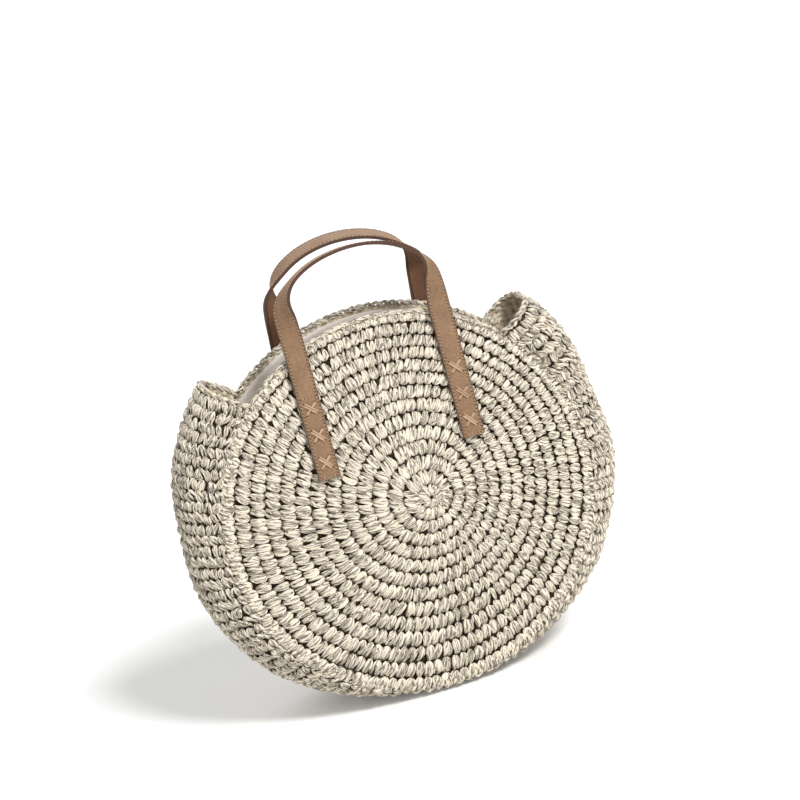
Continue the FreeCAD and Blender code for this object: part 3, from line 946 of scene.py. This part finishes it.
def make_strap_stitching(name, strap):
    """Stitches near each edge, at the tabs' ends and above their lacing, and dark marks between them: painted
    shade of the needle holes.
    """
    rng = random.Random(STITCHING_SEED + strap.side)
    thread_stations = [
        (-1.4, 0, -0.45, 0.3, 0.28, 0),
        (-1.0, 0, 0.08, 0.45, 0.38, 0),
        (0, 0, 0.25, 0.5, 0.42, 0),
        (1.0, 0, 0.08, 0.45, 0.38, 0),
        (1.4, 0, -0.45, 0.3, 0.28, 0),
    ]
    shade_mark_stations = [
        (-1.3, 0, -0.2, 0.2, 0.1, 0),
        (0, 0, 0, 0.55, 0.2, 0),
        (1.3, 0, -0.2, 0.2, 0.1, 0),
    ]
    thread = make_strand(name, thread_stations, sides=6, rng=rng, crumple=0.04)
    shade_mark = make_strand(f"{name}_mark", shade_mark_stations, sides=6, rng=rng, crumple=0.04)
    threads, shade_marks = StrandWork(rng), StrandWork(rng)

    def sew(step, place, across, height, slant):
        """A stitch at an even step and a dark mark of painted shade at an odd one."""
        spot = place @ Matrix.Translation((across, 0, height)) @ turned(slant + rng.gauss(0, 3))
        if step % 2:
            shade_marks.lay(shade_mark, spot)
        else:
            threads.lay(thread, spot)

    edge = STRAP_WIDTH / 2 - GROOVE_INSET
    face = STRAP_THICKNESS - GROOVE_DEPTH
    end = GROOVE_INSET
    count = round((2 * strap.half_length - 2 * end) / EDGE_STITCH_PITCH)
    for step in range(2 * count + 1):
        place = strap.frame(end + (strap.half_length - end) * step / count)
        for hand in (LEFT, RIGHT):
            sew(step, place, hand * edge, face, EDGE_STITCH_SLANT)
    bars = [end, CROSS_START + (CROSSES - 1) * CROSS_PITCH + BAR_OVER_CROSS]
    bars += [2 * strap.half_length - bar for bar in bars]
    across_count = round(2 * edge / EDGE_STITCH_PITCH)
    for bar in bars:
        place = strap.frame(bar)
        for step in range(1, 2 * across_count):
            sew(step, place, edge * (step / across_count - 1), face + BAR_LIFT, BAR_STITCH_SLANT)
    return threads.finish(name, STITCH_THREAD), shade_marks.finish(f"{name}_marks", HOLE_PAINTED_SHADE)


def make_lacing(name, strap, hand):
    """Crosses of lace through a tab, the upper lace doubled, each end going down a punched hole."""
    rng = random.Random(LACING_SEED + 3 * strap.side + hand)
    reach = CROSS_SPAN / math.sqrt(2) / MM
    laces = []
    for number, (lift, girth, _, _) in enumerate(LACES):
        stations = [
            (-reach - 0.3, 0, -1.6, 0.8 * girth, 0.5, 0),
            (-reach + 0.1, 0, 0.1, 1.0 * girth, 0.55, 0),
            (-reach + 1.6, 0, 0.6, 1.2 * girth, 0.55, 6),
            (-2.4, 0, 0.6 + 0.7 * lift, 1.25 * girth, 0.6, -5),
            (0, 0, 0.65 + 1.0 * lift, 1.25 * girth, 0.6, 0),
            (2.4, 0, 0.6 + 0.7 * lift, 1.25 * girth, 0.6, 5),
            (reach - 1.6, 0, 0.6, 1.2 * girth, 0.55, -6),
            (reach - 0.1, 0, 0.1, 1.0 * girth, 0.55, 0),
            (reach + 0.3, 0, -1.6, 0.8 * girth, 0.5, 0),
        ]
        laces.append(make_strand(f"{name}_{number}", stations, sides=8, rng=rng, crumple=0.05))
    work = StrandWork(rng)
    for cross in strap.cross_frames(hand):
        face = cross @ Matrix.Translation((0, 0, STRAP_THICKNESS))
        for lace, (_, _, slant, lanes) in zip(laces, LACES):
            turn = turned(slant + rng.gauss(0, 3))
            for lane in lanes:
                work.lay(lace, face @ turn @ Matrix.Translation((lane * LACE_LANE, 0, 0)))
    return work.finish(name, LACE)


def make_lace_holes(name, strap, hand):
    """Dark rims of the punched holes at the ends of the crosses: painted shade in the holes."""
    form = bmesh.new()
    half = CROSS_SPAN / 2
    shape = Matrix.Diagonal((HOLE_RADIUS, HOLE_RADIUS, HOLE_HALF_HEIGHT, 1))
    for cross in strap.cross_frames(hand):
        for corner in ((-half, -half), (half, -half), (half, half), (-half, half)):
            place = cross @ Matrix.Translation((*corner, STRAP_THICKNESS - HOLE_SINK))
            bmesh.ops.create_icosphere(form, subdivisions=2, radius=1.0, matrix=place @ shape)
    return add_piece(name, form, [HOLE_PAINTED_SHADE])


def dress(piece, body, slot, *nodes):
    """The piece moves with the body and stands for the nodes."""
    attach(piece, body)
    if nodes:
        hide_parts(*nodes)


# Body of the bag
# The gusset core's dark face is painted shade for the gaps between its stitches
gusset_core = make_gusset_sheet("gusset_core", GUSSET_CORE_LIFT, CORE_TRIM, CORD_RADIUS,
                                GUSSET_CORE_THICKNESS, [STRAW_INSIDE, STRAW_CORE_PAINTED_SHADE])
dress(gusset_core, "bag", "straw_crochet", "gusset")
gusset_cloth = make_gusset_sheet("gusset_lining_cloth", LINING_LIFT, LINING_SETBACK, LINING_EAR_SETBACK,
                                 LINING_THICKNESS, [COTTON])
dress(gusset_cloth, "bag", "lining_cloth", "gusset_lining")
for hand_name, hand in HANDS.items():
    dress(make_gusset_crochet(f"{hand_name}_gusset_crochet", hand), "bag", "straw_crochet", "gusset")
    ear_chain = make_chain(f"{hand_name}_ear_chain", ear_line(hand), EAR_SEED + hand)
    dress(ear_chain, "bag", "straw_edging", f"{hand_name}_ear_edging")

for side_name, side in SIDES.items():
    panel_core = make_panel_core(f"{side_name}_panel_core", side)
    dress(panel_core, "bag", "straw_crochet", f"{side_name}_panel")
    panel_crochet = make_panel_crochet(f"{side_name}_panel_crochet", side)
    dress(panel_crochet, "bag", "straw_crochet", f"{side_name}_panel")
    seam_line = ring_line(side, MOUTH_HALF_ANGLE, 360 - MOUTH_HALF_ANGLE)
    seam = make_seam(f"{side_name}_seam", seam_line, SEAM_SEED + side)
    dress(seam, "bag", "straw_edging", f"{side_name}_seam_cord")
    rim_line = ring_line(side, -MOUTH_HALF_ANGLE, MOUTH_HALF_ANGLE)
    rim = make_chain(f"{side_name}_rim_chain", rim_line, RIM_SEED + side)
    dress(rim, "bag", "straw_edging", f"{side_name}_rim_edging")
    cloth = make_lining_disc(f"{side_name}_lining_cloth", side)
    dress(cloth, "bag", "lining_cloth", f"{side_name}_lining")

    strap = Strap(side)
    leather = make_strap(f"{side_name}_strap", strap)
    stitching, shade_marks = make_strap_stitching(f"{side_name}_strap_stitching", strap)
    bend_start = strap.fold - strap.up * (1 * MM)
    bend_end = strap.fold + strap.up * (24 * MM)
    for piece, slot in ((leather, "strap_leather"), (stitching, "lacing_thread"), (shade_marks, "strap_backing")):
        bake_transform(piece, "bag", f"{side_name}_handle", bend_start, bend_end)
    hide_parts(f"{side_name}_handle_strap", f"{side_name}_handle_backing")
    for hand_name, hand in HANDS.items():
        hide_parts(f"{side_name}_{hand_name}_tab", f"{side_name}_{hand_name}_tab_backing")
        lacing = make_lacing(f"{side_name}_{hand_name}_lacing", strap, hand)
        dress(lacing, "bag", "lacing_thread", f"{side_name}_{hand_name}_cross_stitches")
        dress(make_lace_holes(f"{side_name}_{hand_name}_lace_holes", strap, hand), "bag", "strap_backing")


# Studio
EYE = Vector((-0.523, -2.518, 1.0186))
TARGET = Vector((0.0217, 0, 0.2729))
ROLL = math.radians(13)
LENS = 126.6
FLOOR_HALF_WIDTH = 20
WORLD_LIGHT = 0.32  # how bright the world is as a light
FLOOR_GLOW = 0.12  # brings the lit floor up to the white of the background


def make_floor():
    """A wide pale floor with a glow that only the camera sees."""
    form = bmesh.new()
    bmesh.ops.create_grid(form, x_segments=1, y_segments=1, size=FLOOR_HALF_WIDTH)
    finish = Finish("floor_paint", Specular_IOR_Level=0.1, Roughness=0.9, Emission_Strength=1.0)
    clouds = finish.noise(finish.coordinates("Object"), 3.0, 2.0)
    finish.feed("Base Color", finish.mix(clouds, paint(246, 246, 245), paint(249, 249, 248)))
    seen = finish.node("ShaderNodeLightPath", {}, {}, "Is Camera Ray")
    finish.feed("Emission Color", seen * FLOOR_GLOW)
    floor = add_piece("floor", form, [finish.material], smooth=False)


def add_lamp(name, towards, softness, strength):
    """A broad far lamp; towards is the way to it, and softness its width in degrees."""
    light = bpy.data.lights.new(name, "SUN")
    light.angle = math.radians(softness)
    light.energy = strength
    lamp = bpy.data.objects.new(name, light)
    bpy.context.scene.collection.objects.link(lamp)
    lamp.location = towards
    lamp.rotation_euler = (-Vector(towards)).to_track_quat("-Z", "Y").to_euler()


def set_world():
    """White to the camera and in reflections, dimmer as a light."""
    world = bpy.data.worlds.new("studio")
    bpy.context.scene.world = world
    world.use_nodes = True
    tree = world.node_tree
    background = tree.nodes["Background"]
    path = tree.nodes.new("ShaderNodeLightPath")
    rays = [path.outputs[name] for name in ("Is Camera Ray", "Is Glossy Ray", "Is Transmission Ray")]
    seen = rays[0]
    for ray in rays[1:]:
        either = tree.nodes.new("ShaderNodeMath")
        either.operation = "MAXIMUM"
        tree.links.new(seen, either.inputs[0])
        tree.links.new(ray, either.inputs[1])
        seen = either.outputs[0]
    level = tree.nodes.new("ShaderNodeMapRange")
    level.inputs["To Min"].default_value = WORLD_LIGHT
    level.inputs["To Max"].default_value = 1.0
    tree.links.new(seen, level.inputs["Value"])
    tree.links.new(level.outputs[0], background.inputs["Strength"])
    background.inputs["Color"].default_value = (1, 1, 1, 1)


def add_camera():
    camera = bpy.data.objects.new("camera", bpy.data.cameras.new("camera"))
    bpy.context.scene.collection.objects.link(camera)
    camera.data.lens = LENS
    forward = (TARGET - EYE).normalized()
    level = forward.cross(Vector((0, 0, 1))).normalized()
    upright = level.cross(forward)
    right = level * math.cos(ROLL) - upright * math.sin(ROLL)
    top = level * math.sin(ROLL) + upright * math.cos(ROLL)
    camera.matrix_world = placed(right, top, -forward, EYE)
    bpy.context.scene.camera = camera


make_floor()
add_lamp("key", towards=(0.8, -1.4, 1.8), softness=16, strength=2.72)
add_lamp("fill", towards=(-1.6, -0.6, 1.4), softness=50, strength=0.4)
add_lamp("rear", towards=(0.5, 1.6, 1.3), softness=50, strength=0.9)
set_world()
add_camera()
bpy.context.scene.view_settings.view_transform = "Standard"
